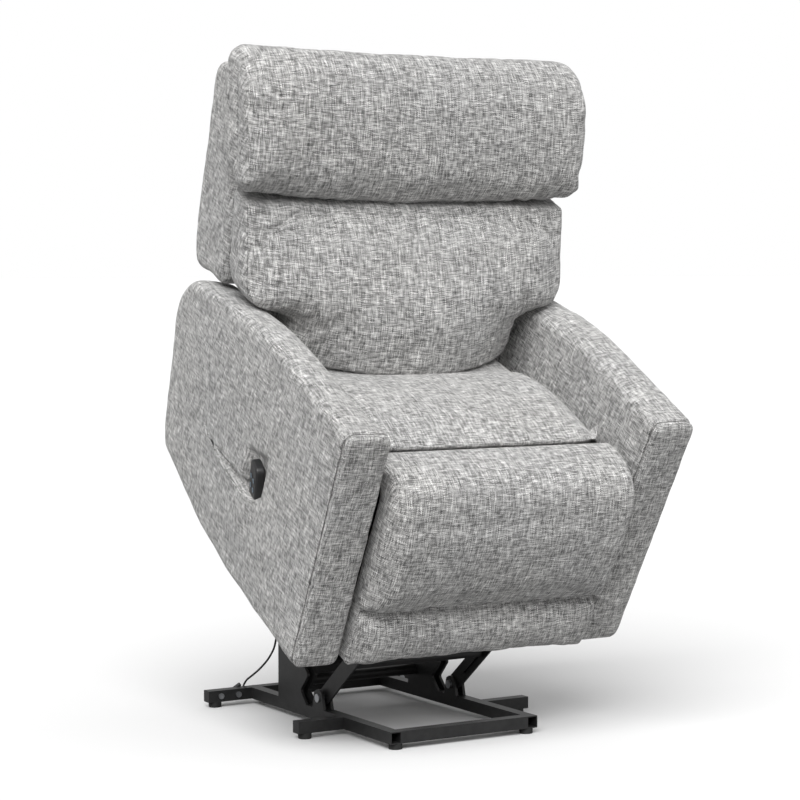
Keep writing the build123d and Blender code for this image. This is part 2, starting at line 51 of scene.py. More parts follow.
# ---- sizes ---------------------------------------------------------------------------------------
TILT = math.radians(28)
CHAIR_ORIGIN = np.array((0.0, -0.178, 0.178))
ARM_INNER = 0.286
ARM_OUTER = 0.400
ARM_TOP = 0.535
PANEL_DEPTH = 0.0108
SEAT_HALF = 0.282
FOOTREST_LEFT = -0.279
FOOTREST_RIGHT = 0.287
BACK_LOW_HALF = 0.277
WING_HALF = 0.388
HEADREST_HALF = 0.418
SHELL_HALF = 0.381
VOXEL = 0.005
CABLE_RADIUS = 0.0022


# ---- geometry helpers ----------------------------------------------------------------------------
def to_model(points):
    """Model coordinates of an array of chair points (x, u, v)."""
    points = np.asarray(points, float)
    c = math.cos(TILT)
    s = math.sin(TILT)
    x, u, v = points.T
    return np.stack((x, u * c - v * s, u * s + v * c), 1) + CHAIR_ORIGIN


def to_chair(points):
    """Chair coordinates (x, u, v) of an array of model points."""
    points = np.asarray(points, float) - CHAIR_ORIGIN
    c = math.cos(TILT)
    s = math.sin(TILT)
    x, y, z = points.T
    return np.stack((x, y * c + z * s, -y * s + z * c), 1)


def smoothstep(low, high, value):
    t = np.clip((value - low) / (high - low), 0, 1)
    return t * t * (3 - 2 * t)


def rounded(points, radii, step=0.012):
    """Closed outline with each corner replaced by a curve, resampled at an even step."""
    points = [np.array(p, float) for p in points]
    if not hasattr(radii, "__len__"):
        radii = [radii] * len(points)
    path = []
    for i, corner in enumerate(points):
        before = points[i - 1] - corner
        after = points[(i + 1) % len(points)] - corner
        reach = min(radii[i], 0.49 * np.linalg.norm(before), 0.49 * np.linalg.norm(after))
        start = corner + before / np.linalg.norm(before) * reach
        end = corner + after / np.linalg.norm(after) * reach
        for t in np.linspace(0, 1, 7):
            path.append((1 - t) ** 2 * start + 2 * t * (1 - t) * corner + t * t * end)
    return resample(np.array(path), step, True)


def resample(path, step, closed=False):
    """Points at an even step along a polyline."""
    if closed:
        path = np.vstack((path, path[:1]))
    lengths = np.concatenate(((0,), np.cumsum(np.linalg.norm(np.diff(path, axis=0), axis=1))))
    count = max(8, int(round(lengths[-1] / step)))
    at = np.linspace(0, lengths[-1], count + 1)
    even = np.stack([np.interp(at, lengths, path[:, k]) for k in range(path.shape[1])], 1)
    return even[:-1] if closed else even


def inward(outline):
    """Unit vectors pointing into a closed 2D outline at each of its points."""
    ahead = np.roll(outline, -1, 0) - np.roll(outline, 1, 0)
    ahead /= np.linalg.norm(ahead, axis=1)[:, None] + 1e-12
    x, y = outline[:, 0], outline[:, 1]
    area = np.sum(x * np.roll(y, -1) - y * np.roll(x, -1))
    side = np.stack((-ahead[:, 1], ahead[:, 0]), 1)
    return side if area > 0 else -side


def new_object(name, verts, faces):
    mesh = bpy.data.meshes.new(name)
    mesh.from_pydata([tuple(v) for v in verts], [], faces)
    mesh.validate()
    obj = bpy.data.objects.new(name, mesh)
    bpy.context.scene.collection.objects.link(obj)
    work = bmesh.new()
    work.from_mesh(mesh)
    bmesh.ops.recalc_face_normals(work, faces=work.faces)
    work.to_mesh(mesh)
    work.free()
    return obj


def loft(name, rings):
    """Closed mesh through rings of (x, u, v) points with equal counts, capped at both ends."""
    count = len(rings[0])
    verts = to_model(np.vstack(rings))
    faces = []
    for r in range(len(rings) - 1):
        for i in range(count):
            j = (i + 1) % count
            faces.append((r * count + i, r * count + j, (r + 1) * count + j, (r + 1) * count + i))
    faces.append(tuple(range(count)))
    faces.append(tuple(range((len(rings) - 1) * count, len(rings) * count)))
    return new_object(name, verts, faces)


def across(name, outline, x0, x1, radius, shape=None, keep_front=None):
    """Pad lofted along x from a closed (u, v) outline, its side edges rounded.

    radius is one value or one per outline point; shape(x, ring) may bend each ring of (u, v) points;
    points in front of keep_front are not moved in u by the rounding.
    """
    radius = np.broadcast_to(np.asarray(radius, float), (len(outline),))
    side = inward(outline)
    if keep_front is not None:
        side = side.copy()
        front = outline[:, 0] < keep_front
        side[front, 0] = 0
    rings = []

    def ring(x, move):
        flat = outline + side * move[:, None]
        if shape is not None:
            flat = shape(x, flat)
        rings.append(np.column_stack((x, flat)))

    for theta in np.linspace(math.pi / 2, 0, 7):
        ring(x0 + radius * (1 - math.sin(theta)), radius * (1 - math.cos(theta)))
    inner0 = x0 + radius
    inner1 = x1 - radius
    for t in np.linspace(0, 1, max(2, int((x1 - x0) / 0.02)))[1:-1]:
        ring(inner0 + (inner1 - inner0) * t, np.zeros(len(outline)))
    for theta in np.linspace(0, math.pi / 2, 7):
        ring(x1 - radius * (1 - math.sin(theta)), radius * (1 - math.cos(theta)))
    return loft(name, rings)


def apply_modifiers(obj):
    """Replace the mesh with its evaluated one and drop the modifiers."""
    bpy.context.view_layer.update()
    graph = bpy.context.evaluated_depsgraph_get()
    mesh = bpy.data.meshes.new_from_object(obj.evaluated_get(graph))
    old = obj.data
    obj.modifiers.clear()
    obj.data = mesh
    bpy.data.meshes.remove(old)


def remesh(obj, size=VOXEL, smooth=4):
    """Even quads all over the piece, with the voxel steps smoothed away."""
    grid = obj.modifiers.new("grid", "REMESH")
    grid.mode = "VOXEL"
    grid.voxel_size = size
    if smooth:
        relax = obj.modifiers.new("relax", "SMOOTH")
        relax.factor = 0.5
        relax.iterations = smooth
    apply_modifiers(obj)


def coords(obj):
    flat = np.empty(len(obj.data.vertices) * 3)
    obj.data.vertices.foreach_get("co", flat)
    return flat.reshape(-1, 3)


def set_coords(obj, points):
    obj.data.vertices.foreach_set("co", np.asarray(points, float).ravel())
    obj.data.update()


def normals(obj):
    flat = np.empty(len(obj.data.vertices) * 3)
    obj.data.vertices.foreach_get("normal", flat)
    return flat.reshape(-1, 3)


def push(obj, amount):
    """Move each vertex along its normal."""
    set_coords(obj, coords(obj) + normals(obj) * np.asarray(amount)[:, None])


def ripple(points, scale, seed):
    """Smooth pseudo-random value from -1 to 1 at each point, varying over about scale metres."""
    rng = np.random.default_rng(seed)
    total = np.zeros(len(points))
    for _ in range(7):
        direction = rng.normal(size=3)
        direction /= np.linalg.norm(direction)
        rate = 2 * math.pi / scale * rng.uniform(0.45, 1.25)
        total += np.sin(points @ direction * rate + rng.uniform(0, 2 * math.pi))
    return total / 4


def near(points, path, reach):
    """1 on a path of (x, u, v) points falling smoothly to 0 at reach, for chair points."""
    path = resample(np.asarray(path, float), 0.004)
    tree = KDTree(len(path))
    for i, p in enumerate(path):
        tree.insert(p, i)
    tree.balance()
    low = path.min(0) - reach
    high = path.max(0) + reach
    close = np.where(np.all((points > low) & (points < high), axis=1))[0]
    value = np.zeros(len(points))
    for i in close:
        distance = tree.find(points[i])[2]
        value[i] = max(0.0, 1 - distance / reach)
    return value * value * (3 - 2 * value)


def inflate(obj, pinned, pressure, cap, grow=0.0, stiffness=15):
    """Swell the piece as cloth under pressure, with pinned (0 to 1) holding vertices, movement capped."""
    start = coords(obj)
    group = obj.vertex_groups.new(name="pin")
    for level in np.unique(np.round(pinned, 1)):
        if level > 0:
            group.add([int(i) for i in np.where(np.round(pinned, 1) == level)[0]], float(level), "ADD")
    cloth = obj.modifiers.new("cloth", "CLOTH")
    settings = cloth.settings
    settings.use_pressure = True
    settings.uniform_pressure_force = pressure
    settings.vertex_group_mass = "pin"
    settings.shrink_min = -grow
    settings.effector_weights.gravity = 0
    settings.quality = 4
    settings.tension_stiffness = stiffness
    settings.compression_stiffness = stiffness
    settings.bending_stiffness = 0.6
    cloth.collision_settings.use_collision = False
    scene = bpy.context.scene
    for moment in range(1, 21):
        scene.frame_set(moment)
    graph = bpy.context.evaluated_depsgraph_get()
    moved = np.empty(len(start) * 3)
    obj.evaluated_get(graph).data.vertices.foreach_get("co", moved)
    obj.modifiers.clear()
    obj.vertex_groups.clear()
    scene.frame_set(1)
    shift = moved.reshape(-1, 3) - start
    length = np.linalg.norm(shift, axis=1)[:, None] + 1e-9
    set_coords(obj, start + shift / length * cap * np.tanh(length / cap))


def finish_mesh(obj, levels=1):
    """Smooth shading, and one subdivision so seams and folds stay fine."""
    if levels:
        finer = obj.modifiers.new("finer", "SUBSURF")
        finer.levels = levels
        finer.render_levels = levels
        apply_modifiers(obj)
    obj.data.polygons.foreach_set("use_smooth", [True] * len(obj.data.polygons))
    obj.data.update()


def seam(name, path, target, body, radius=0.0009, sink=0.0005, finish="seam_shade"):
    """Seam line laid on the target piece along a path of chair points; in its default darkened finish the
    line is painted shade of the seam's groove.
    """
    graph = bpy.context.evaluated_depsgraph_get()
    tree = BVHTree.FromObject(target, graph)
    spots = []
    for point in to_model(resample(np.asarray(path, float), 0.006)):
        spot, normal, _, _ = tree.find_nearest(Vector(point))
        spots.append(spot - normal * sink)
    curve = bpy.data.curves.new(name, "CURVE")
    curve.dimensions = "3D"
    curve.bevel_depth = radius
    curve.bevel_resolution = 1
    curve.use_fill_caps = True
    line = curve.splines.new("POLY")
    line.points.add(len(spots) - 1)
    for point, spot in zip(line.points, spots):
        point.co = (*spot, 1)
    obj = bpy.data.objects.new(name, curve)
    bpy.context.scene.collection.objects.link(obj)
    # The default finish is painted shade: a dark line standing for the shadow in the seam.
    obj.data.materials.append(MATERIALS[finish])
    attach(obj, body)
    return obj


# ---- materials -----------------------------------------------------------------------------------
class Nodes:
    """Short way to add and join shader nodes in one tree."""

    def __init__(self, tree):
        self.tree = tree

    def add(self, kind, **settings):
        node = self.tree.nodes.new(kind)
        for key, value in settings.items():
            setattr(node, key, value)
        return node

    def put(self, socket, value):
        if isinstance(value, bpy.types.NodeSocket):
            self.tree.links.new(value, socket)
        elif value is not None:
            socket.default_value = value

    def math(self, operation, a, b=None, c=None):
        node = self.add("ShaderNodeMath", operation=operation)
        for socket, value in zip(node.inputs, (a, b, c)):
            self.put(socket, value)
        return node.outputs[0]

    def noise(self, vector, scale, detail=0.0, rough=0.5):
        node = self.add("ShaderNodeTexNoise")
        node.inputs["Detail"].default_value = detail
        node.inputs["Roughness"].default_value = rough
        node.inputs["Scale"].default_value = scale
        self.put(node.inputs["Vector"], vector)
        return node.outputs["Fac"]

    def ramp(self, value, stops):
        node = self.add("ShaderNodeValToRGB")
        ramp = node.color_ramp
        while len(ramp.elements) < len(stops):
            ramp.elements.new(0.5)
        for element, (position, colour) in zip(ramp.elements, stops):
            element.position = position
            element.color = (*colour, 1) if len(colour) == 3 else colour
        self.put(node.inputs["Fac"], value)
        return node.outputs["Color"]

    def vector(self, x, y, z=0.0):
        node = self.add("ShaderNodeCombineXYZ")
        for socket, value in zip(node.inputs, (x, y, z)):
            self.put(socket, value)
        return node.outputs[0]

    def blend(self, factor, a, b):
        node = self.add("ShaderNodeMix", data_type="FLOAT")
        self.put(node.inputs[0], factor)
        self.put(node.inputs[2], a)
        self.put(node.inputs[3], b)
        return node.outputs[0]

    def tint(self, factor, a, b, kind="MIX"):
        node = self.add("ShaderNodeMix", data_type="RGBA", blend_type=kind)
        self.put(node.inputs[0], factor)
        self.put(node.inputs[6], a)
        self.put(node.inputs[7], b)
        return node.outputs[2]


def material(name):
    made = bpy.data.materials.new(name)
    made.use_nodes = True
    nodes = Nodes(made.node_tree)
    shader = made.node_tree.nodes["Principled BSDF"]
    return made, nodes, shader


THREAD = 0.0018           # pitch of the weave's threads


def weave_group():
    """Tone and height of a slubby plain weave over a plane (p, q) in metres."""
    group = bpy.data.node_groups.new("plain_weave", "ShaderNodeTree")
    for name in ("p", "q"):
        group.interface.new_socket(name, in_out="INPUT", socket_type="NodeSocketFloat")
    for name in ("tone", "height"):
        group.interface.new_socket(name, in_out="OUTPUT", socket_type="NodeSocketFloat")
    n = Nodes(group)
    source = n.add("NodeGroupInput")
    p, q = source.outputs["p"], source.outputs["q"]
    wander = n.noise(n.vector(p, q), 60)
    p = n.math("MULTIPLY_ADD", wander, 0.0012, p)
    q = n.math("MULTIPLY_ADD", wander, 0.0012, q)

    def threads(along, cross, offset):
        number = n.math("FLOOR", n.math("DIVIDE", cross, THREAD))
        own_place = n.math("MULTIPLY_ADD", number, 7.31, offset)
        fine = n.noise(n.vector(n.math("MULTIPLY", along, 60), own_place), 1)
        stretched = n.vector(n.math("MULTIPLY", along, 34), n.math("MULTIPLY", cross, 620), offset)
        slub = n.noise(stretched, 1, 1)
        round_top = n.math("ABSOLUTE", n.math("SINE", n.math("MULTIPLY", cross, math.pi / THREAD)))
        return n.math("ADD", n.math("MULTIPLY", fine, 0.6), n.math("MULTIPLY", slub, 0.4)), round_top

    weft, weft_top = threads(p, q, 3.7)
    warp, warp_top = threads(q, p, 91.3)
    weft_wave = n.math("SINE", n.math("MULTIPLY", p, math.pi / THREAD))
    warp_wave = n.math("SINE", n.math("MULTIPLY", q, math.pi / THREAD))
    over = n.math("MULTIPLY_ADD", n.math("MULTIPLY", weft_wave, warp_wave), 1.6, 0.5)
    over.node.use_clamp = True
    fibre = n.noise(n.vector(p, q), 1400, 1)
    tone = n.math("ADD", n.blend(over, weft, warp), n.math("MULTIPLY_ADD", fibre, 0.16, -0.08))
    height = n.math("ADD", n.blend(over, weft_top, warp_top), n.math("MULTIPLY", tone, 0.8))
    sink = n.add("NodeGroupOutput")
    n.put(sink.inputs["tone"], tone)
    n.put(sink.inputs["height"], height)
    return group


def tweed(name, darken=1.0):
    """Grey melange tweed, woven along the chair's own axes on every face."""
    made, n, shader = material(name)
    place = n.add("ShaderNodeTexCoord")

    def in_chair(socket):
        turn = n.add("ShaderNodeVectorRotate", rotation_type="X_AXIS")
        n.put(turn.inputs["Vector"], socket)
        turn.inputs["Angle"].default_value = -TILT
        split = n.add("ShaderNodeSeparateXYZ")
        n.put(split.inputs[0], turn.outputs[0])
        return split.outputs

    x, u, v = in_chair(place.outputs["Object"])
    facing = [n.math("POWER", n.math("ABSOLUTE", part), 10) for part in in_chair(place.outputs["Normal"])]
    total = n.math("ADD", n.math("ADD", facing[0], facing[1]), n.math("ADD", facing[2], 1e-6))
    tone = height = None
    for (p, q), weight in zip(((u, v), (x, v), (x, u)), facing):
        weave = n.add("ShaderNodeGroup")
        weave.node_tree = WEAVE
        n.put(weave.inputs["p"], p)
        n.put(weave.inputs["q"], q)
        share = n.math("DIVIDE", weight, total)
        tone_part = n.math("MULTIPLY", weave.outputs["tone"], share)
        height_part = n.math("MULTIPLY", weave.outputs["height"], share)
        tone = tone_part if tone is None else n.math("ADD", tone, tone_part)
        height = height_part if height is None else n.math("ADD", height, height_part)
    stops = ((0.33, 0.05), (0.43, 0.175), (0.50, 0.335), (0.57, 0.53), (0.67, 0.86))
    colour = n.ramp(tone, [(at, (g * darken, g * darken * 0.992, g * darken * 0.975)) for at, g in stops])
    cloud = n.noise(place.outputs["Object"], 5, 2)
    shade = n.ramp(cloud, [(0.3, (0.955, 0.955, 0.96)), (0.7, (1.04, 1.035, 1.03))])
    colour = n.tint(1.0, colour, shade, "MULTIPLY")
    n.put(shader.inputs["Base Color"], colour)
    shader.inputs["Roughness"].default_value = 0.92
    shader.inputs["Specular IOR Level"].default_value = 0.2
    shader.inputs["Sheen Weight"].default_value = 0.25
    shader.inputs["Sheen Roughness"].default_value = 0.55
    bump = n.add("ShaderNodeBump")
    bump.inputs["Strength"].default_value = 0.55
    bump.inputs["Distance"].default_value = 0.0007
    n.put(bump.inputs["Height"], height)
    n.put(shader.inputs["Normal"], bump.outputs[0])
    return made


def finish_of(name, colour, rough, metal=0.0, speck=0.15, grain=900.0, bump=0.0001, edge_highlight=None, coat=0.0):
    """Painted, plated or moulded surface: mottled colour and roughness, fine grain, and an optional painted
    highlight that makes convex edges lighter.
    """
    made, n, shader = material(name)
    place = n.add("ShaderNodeTexCoord").outputs["Object"]
    cloud = n.noise(place, 14, 3)
    fine = n.noise(place, grain, 2)
    low = tuple(c * (1 - speck) for c in colour)
    high = tuple(min(1, c * (1 + speck) + 0.004) for c in colour)
    base = n.ramp(cloud, [(0.3, low), (0.7, high)])
    if edge_highlight is not None:
        # Painted highlight: convex edges found by Pointiness get a lighter colour, standing in for light
        # catching rounded edges.
        edge = n.add("ShaderNodeNewGeometry").outputs["Pointiness"]
        edges = n.ramp(edge, [(0.52, (0, 0, 0)), (0.6, (1, 1, 1))])
        edge_highlight_mask = n.math("MULTIPLY", edges, n.noise(place, 60, 3))
        base = n.tint(edge_highlight_mask, base, (*edge_highlight, 1))
    n.put(shader.inputs["Base Color"], base)
    roughness = n.math("MULTIPLY_ADD", fine, 0.16, n.math("MULTIPLY_ADD", cloud, 0.14, rough - 0.15))
    n.put(shader.inputs["Roughness"], roughness)
    shader.inputs["Metallic"].default_value = metal
    shader.inputs["Coat Weight"].default_value = coat
    shader.inputs["Coat Roughness"].default_value = 0.3
    node = n.add("ShaderNodeBump")
    node.inputs["Strength"].default_value = 0.5
    node.inputs["Distance"].default_value = bump
    n.put(node.inputs["Height"], fine)
    n.put(shader.inputs["Normal"], node.outputs[0])
    return made


def wood_finish():
    made, n, shader = material("wood")
    place = n.add("ShaderNodeTexCoord").outputs["Object"]
    stretch = n.add("ShaderNodeMapping")
    stretch.inputs["Scale"].default_value = (60, 4, 40)
    n.put(stretch.inputs["Vector"], place)
    grain = n.noise(stretch.outputs[0], 1, 5, 0.6)
    timber = n.ramp(grain, [(0.3, (0.36, 0.23, 0.12)), (0.7, (0.62, 0.45, 0.28))])
    n.put(shader.inputs["Base Color"], timber)
    shader.inputs["Roughness"].default_value = 0.7
    bump = n.add("ShaderNodeBump")
    bump.inputs["Distance"].default_value = 0.0004
    n.put(bump.inputs["Height"], grain)
    n.put(shader.inputs["Normal"], bump.outputs[0])
    return made


def key_finish():
    """Black key with a pale blue ring printed on it."""
    made, n, shader = material("key_plastic")
    coordinates = n.add("ShaderNodeTexCoord")
    split = n.add("ShaderNodeSeparateXYZ")
    n.put(split.inputs[0], coordinates.outputs["Generated"])
    across_key, up_key = [n.math("SUBTRACT", part, 0.5) for part in split.outputs[1:3]]
    radius = n.math("SQRT", n.math("ADD", n.math("POWER", across_key, 2), n.math("POWER", up_key, 2)))
    ring = n.math("LESS_THAN", n.math("ABSOLUTE", n.math("SUBTRACT", radius, 0.31)), 0.055)
    grain = n.noise(coordinates.outputs["Object"], 1500, 2)
    black = n.ramp(grain, [(0.3, (0.012, 0.012, 0.013)), (0.7, (0.02, 0.02, 0.021))])
    n.put(shader.inputs["Base Color"], n.tint(ring, black, (0.32, 0.47, 0.62, 1)))
    n.put(shader.inputs["Roughness"], n.math("MULTIPLY_ADD", grain, 0.2, 0.3))
    bump = n.add("ShaderNodeBump")
    bump.inputs["Distance"].default_value = 0.0001
    n.put(bump.inputs["Height"], n.math("MULTIPLY_ADD", ring, 0.8, grain))
    n.put(shader.inputs["Normal"], bump.outputs[0])
    return made


def webbing_finish():
    made, n, shader = material("webbing")
    split = n.add("ShaderNodeSeparateXYZ")
    n.put(split.inputs[0], n.add("ShaderNodeTexCoord").outputs["Object"])
    a = n.math("SINE", n.math("MULTIPLY", split.outputs[0], 1600))
    b = n.math("SINE", n.math("MULTIPLY", split.outputs[1], 1800))
    rib = n.math("MULTIPLY_ADD", n.math("MULTIPLY", a, b), 0.5, 0.5)
    n.put(shader.inputs["Base Color"], n.ramp(rib, [(0.2, (0.02, 0.02, 0.02)), (0.9, (0.09, 0.09, 0.09))]))
    shader.inputs["Roughness"].default_value = 0.85
    bump = n.add("ShaderNodeBump")
    bump.inputs["Distance"].default_value = 0.0005
    n.put(bump.inputs["Height"], rib)
    n.put(shader.inputs["Normal"], bump.outputs[0])
    return made


WEAVE = weave_group()
MATERIALS = {
    "tweed": tweed("tweed"),
    # Darkened tweed for seam and crease lines: painted shade standing for the shadow in their grooves.
    "seam_shade": tweed("seam_painted_shade", 0.3),
    # The base's powder coat gets a painted highlight on its convex edges.
    "powder_coat": finish_of("powder_coat", (0.006, 0.006, 0.0065), 0.4, speck=0.3, grain=700, bump=0.00025,
                             edge_highlight=(0.03, 0.03, 0.03)),
    "zinc": finish_of("zinc", (0.55, 0.56, 0.58), 0.38, metal=1.0, speck=0.12, grain=300),
    "rod_steel": finish_of("rod_steel", (0.6, 0.6, 0.61), 0.25, metal=1.0, speck=0.06, grain=1200),
    "black_plastic": finish_of("black_plastic", (0.016, 0.016, 0.017), 0.45, speck=0.15, grain=1500,
                               bump=0.00012),
    "motor_can": finish_of("motor_can", (0.04, 0.04, 0.043), 0.4, metal=0.4, speck=0.2, grain=500),
    "foot_rubber": finish_of("foot_rubber", (0.014, 0.014, 0.014), 0.75, speck=0.2, grain=600, bump=0.0003),
    "cable_jacket": finish_of("cable_jacket", (0.012, 0.012, 0.012), 0.5, speck=0.15, grain=1200),
    "key_plastic": key_finish(),
    # Near-black cloth used only as painted shade: the pocket slit's shadow and the shaded gaps beside the
    # footrest.
    "lining": finish_of("lining", (0.018, 0.018, 0.019), 0.95, speck=0.3, grain=1100, bump=0.0006),
    "wood": wood_finish(),
    "webbing": webbing_finish(),
}


def dress(obj, name):
    obj.data.materials.clear()
    obj.data.materials.append(MATERIALS[name])


def soft(obj, node, body):
    """Dress an upholstered piece that stands for a CAD node in tweed, hide that node, and attach the piece to
    its body.
    """
    dress(obj, "tweed")
    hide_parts(node)
    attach(obj, body)


# ---- hard parts: the CAD nodes keep their shape and take their finish ----------------------------
for part in frame["record"]["subparts"]:
    node = frame["nodes"][part["node"]]
    if part["material_slot"] != "tweed":
        dress(node, part["material_slot"])
dress(frame["nodes"]["rear_panel"], "tweed")


# ---- camera, light and floor ---------------------------------------------------------------------
def build_stage():
    scene = bpy.context.scene
    scene.view_settings.view_transform = "Standard"
    camera = bpy.data.objects.new("camera", bpy.data.cameras.new("camera"))
    scene.collection.objects.link(camera)
    camera.data.lens = 106.82
    camera.data.sensor_width = 36
    camera.location = (-2.5863, -4.2316, 0.9629)
    camera.rotation_euler = (math.radians(86.831), 0, math.radians(-31.066))
    scene.camera = camera

    def sun(name, azimuth, height, strength, spread):
        light = bpy.data.lights.new(name, "SUN")
        light.energy = strength
        light.angle = math.radians(spread)
        obj = bpy.data.objects.new(name, light)
        scene.collection.objects.link(obj)
        obj.rotation_euler = (math.radians(90 - height), 0, math.radians(azimuth))

    sun("key", -41, 47, 3.35, 50)
    sun("fill", 35, 50, 0.45, 70)

    world = bpy.data.worlds.new("studio")
    scene.world = world
    world.use_nodes = True
    n = Nodes(world.node_tree)
    background = world.node_tree.nodes["Background"]
    seen = n.add("ShaderNodeLightPath").outputs["Is Camera Ray"]
    n.put(background.inputs["Color"], (1, 1, 1, 1))
    n.put(background.inputs["Strength"], n.math("MULTIPLY_ADD", seen, 0.53, 0.47))

    bpy.ops.mesh.primitive_plane_add(size=400, location=(0, 0, 0))
    floor = bpy.context.object
    floor.name = "floor"
    made, n, shader = material("pale_floor")
    seen = n.add("ShaderNodeLightPath").outputs["Is Camera Ray"]
    n.put(shader.inputs["Base Color"], n.tint(seen, (0.32, 0.32, 0.32, 1), (0.80, 0.80, 0.80, 1)))
    shader.inputs["Roughness"].default_value = 0.9
    shader.inputs["Specular IOR Level"].default_value = 0.1
    floor.data.materials.append(made)


build_stage()


# ---- power cable ---------------------------------------------------------------------------------
def build_cable():
    route = [(-174, 290, 181), (-174, 295, 148), (-176, 320, 116), (-179, 355, 88), (-182, 391, 66),
             (-181, 425, 50), (-177, 451, 26), (-171, 479, 7), (-180, 507, 3), (-206, 517, 3),
             (-229, 501, 3), (-235, 473, 4), (-225, 448, 14), (-206, 438, 30)]
    curve = bpy.data.curves.new("power_cable_lead", "CURVE")
    curve.dimensions = "3D"
    curve.bevel_depth = CABLE_RADIUS
    curve.bevel_resolution = 5
    curve.use_fill_caps = True
    curve.resolution_u = 16
    line = curve.splines.new("NURBS")
    line.points.add(len(route) - 1)
    for point, (x, y, z) in zip(line.points, route):
        point.co = (x / 1000, y / 1000, z / 1000, 1)
    line.order_u = 3
    line.use_endpoint_u = True
    cable = bpy.data.objects.new("power_cable_lead", curve)
    bpy.context.scene.collection.objects.link(cable)
    curve.materials.append(MATERIALS["cable_jacket"])
    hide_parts("power_cable")
    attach(cable, "base")


build_cable()


# ---- arms ----------------------------------------------------------------------------------------
ARM_OUTLINE = [(0.0111, 0.002), (0.0111, 0.535), (0.370, 0.548), (0.538, 0.521), (0.708, 0.489),
               (0.748, 0.449), (0.766, 0.396), (0.740, 0.267), (0.713, 0.117), (0.690, 0.086),
               (0.654, 0.078), (0.524, 0.034), (0.378, 0.011), (0.248, 0.006)]
ARM_CORNERS = [0.002, 0.002, 0.2, 0.12, 0.045, 0.035, 0.05, 0.12, 0.03, 0.02, 0.06, 0.1, 0.1, 0.1]
POCKET = [(0.524, 0.245), (0.467, 0.230), (0.389, 0.217), (0.343, 0.213), (0.313, 0.213), (0.262, 0.231)]
HANDSET_HOLLOW = 0.016  # how far the cover is pushed in beside the handset


def flare(x, v, u=0.0):
    """The arms lean outward a little towards their tops, and their inner walls bow away from the seat."""
    inner = smoothstep(0.35, 0.29, x)
    bow = 0.012 * inner * smoothstep(0.02, 0.20, u) * smoothstep(0.68, 0.45, u) * (v / ARM_TOP) ** 2
    return x + 0.017 * v / ARM_TOP - 0.008 * smoothstep(0.34, 0.40, x) + 0.004 * inner + bow


def build_arm(side):
    name = "left" if side < 0 else "right"
    outline = rounded(ARM_OUTLINE, ARM_CORNERS)
    cover = across(f"arm_{name}_upholstery", outline, ARM_INNER, ARM_OUTER, 0.019, keep_front=0.015)
    remesh(cover, VOXEL, 3)
    at = to_chair(coords(cover))
    sloped = smoothstep(0.36, 0.285, at[:, 0]) * smoothstep(0.42, 0.50, at[:, 2])
    sloped = sloped * smoothstep(0.01, 0.10, at[:, 1])
    at[:, 0] = flare(at[:, 0], at[:, 2], at[:, 1])
    at[:, 2] -= 0.009 * sloped
    set_coords(cover, to_model(at))
    facing = to_chair(normals(cover) + CHAIR_ORIGIN)
    flat = smoothstep(0.7, 0.98, np.abs(facing[:, 0]))
    from_edge = np.minimum.reduce((at[:, 1], 0.76 - at[:, 1], at[:, 2] - 0.02, 0.53 - at[:, 2]))
    inside = smoothstep(0.0, 0.14, from_edge)
    outer = (at[:, 0] > 0.34).astype(float)
    swell = flat * inside * (0.004 * outer + 0.002)
    swell = swell + 0.0011 * ripple(at, 0.16, 5) + 0.0006 * ripple(at, 0.05, 6)
    swell -= 0.0045 * smoothstep(0.006, 0.0, np.abs(at[:, 1] - PANEL_DEPTH)) * (1 - np.abs(facing[:, 1]))
    push(cover, swell)

    if side < 0:
        at[:, 0] *= -1
        mirrored = coords(cover)
        mirrored[:, 0] *= -1
        set_coords(cover, mirrored)
        cover.data.flip_normals()
        open_pocket(cover)
    finish_mesh(cover, 1)
    soft(cover, f"arm_cover_{name}", "chassis")
    if side < 0:
        build_pocket(cover)

    panel = build_arm_panel(name, side)
    edge = arm_panel_outline()
    loop = [(side * flare(x, v), PANEL_DEPTH, v) for x, v in edge]
    seam(f"arm_panel_seam_{name}", loop + loop[:1], cover, "chassis")
    return cover, panel


def arm_panel_outline():
    corners = [(ARM_INNER, 0.001), (ARM_OUTER, 0.001), (ARM_OUTER, 0.535), (ARM_INNER, 0.535)]
    return rounded(corners, [0.022, 0.026, 0.028, 0.026], 0.008)


def build_arm_panel(name, side):
    outline = arm_panel_outline()
    inner = inward(outline)
    rings = []
    for u, inset in ((0.0106, 0.0025), (0.0085, 0.0006), (0.006, 0.0), (0.003, 0.001), (0.0003, 0.004),
                     (-0.0016, 0.009), (-0.0030, 0.017), (-0.0040, 0.028), (-0.0045, 0.040)):
        flat = outline + inner * inset
        spread = flare(flat[:, 0], flat[:, 1])
        rings.append(np.column_stack((side * spread, np.full(len(flat), u), flat[:, 1])))
    panel = loft(f"arm_{name}_front", rings)
    remesh(panel, 0.004, 3)
    at = to_chair(coords(panel))
    push(panel, 0.0008 * ripple(at, 0.09, 11) + 0.0004 * ripple(at, 0.03, 12))
    finish_mesh(panel, 1)
    soft(panel, f"arm_front_panel_{name}", "chassis")
    return panel


def pocket_line():
    path = np.array(POCKET)
    dense = resample(path, 0.01)
    for _ in range(6):
        dense[1:-1] = (dense[:-2] + dense[2:]) / 2
    return dense


